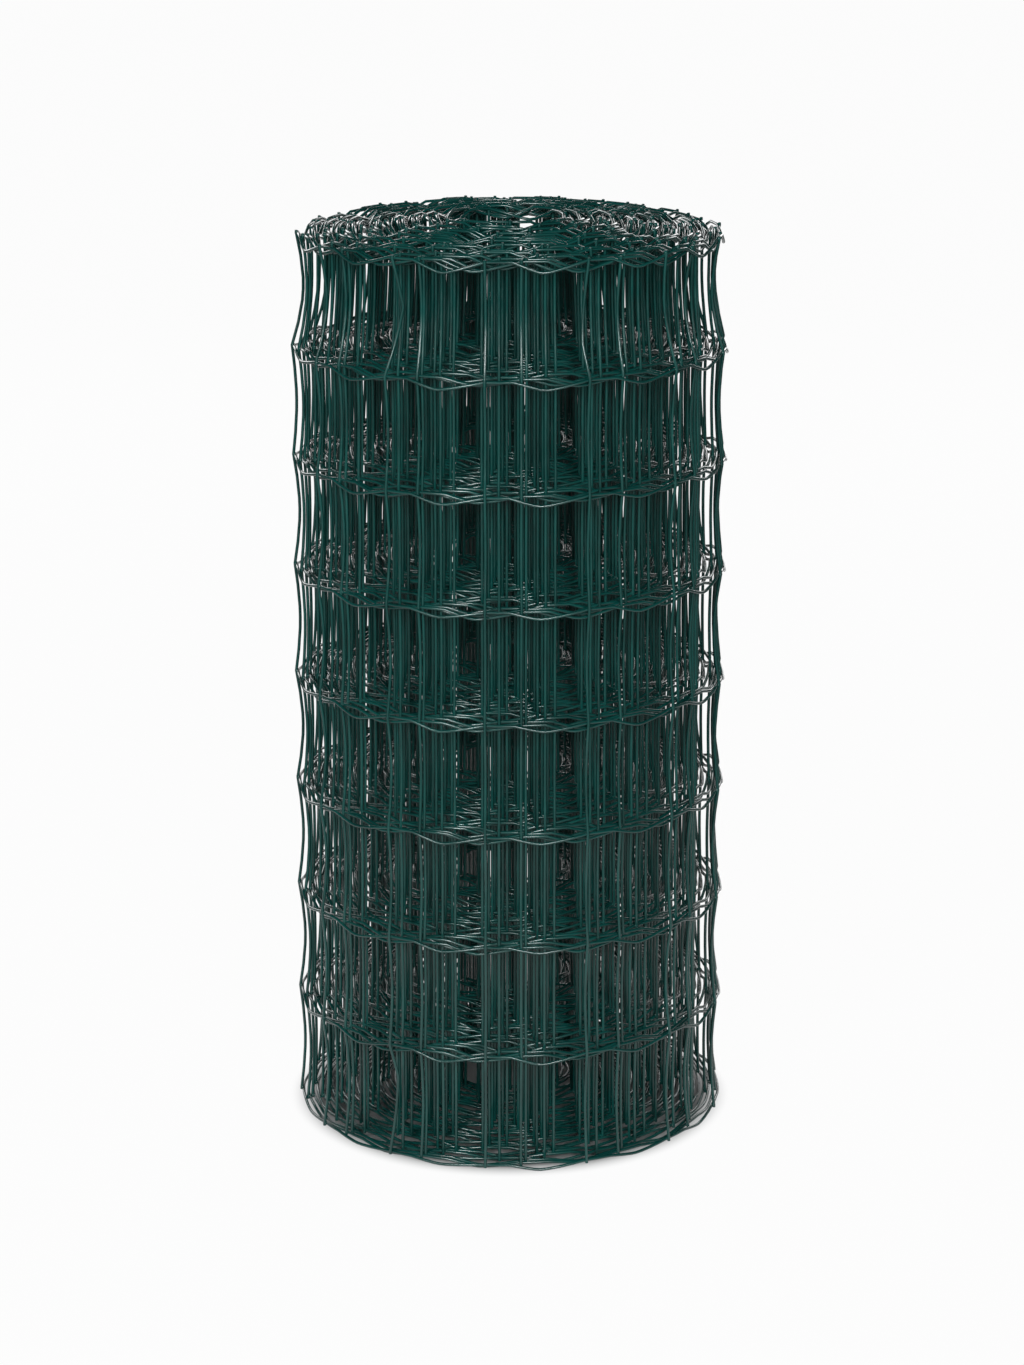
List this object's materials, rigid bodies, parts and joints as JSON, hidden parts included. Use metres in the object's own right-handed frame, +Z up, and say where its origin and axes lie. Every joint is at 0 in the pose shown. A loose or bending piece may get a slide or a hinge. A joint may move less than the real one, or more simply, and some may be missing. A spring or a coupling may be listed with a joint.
{
  "type": "roll of wire fencing",
  "caption": "Upright roll of green plastic-coated welded wire mesh fence, wound round an open core, standing on its end.",
  "frame": {"origin": "on the axis of the roll, at the floor that the roll stands on", "axes": "+Z up along the axis of the roll and its open core; the view in the picture looks along +Y, with +X to the right"},
  "size_m": [0.3898, 0.389, 0.8226],
  "materials": {
    "coated_wire": "semi-gloss dark green plastic coat on steel wire"
  },
  "bodies": {
    "root": {"fence_roll": "coated_wire"}
  },
  "joints": []
}
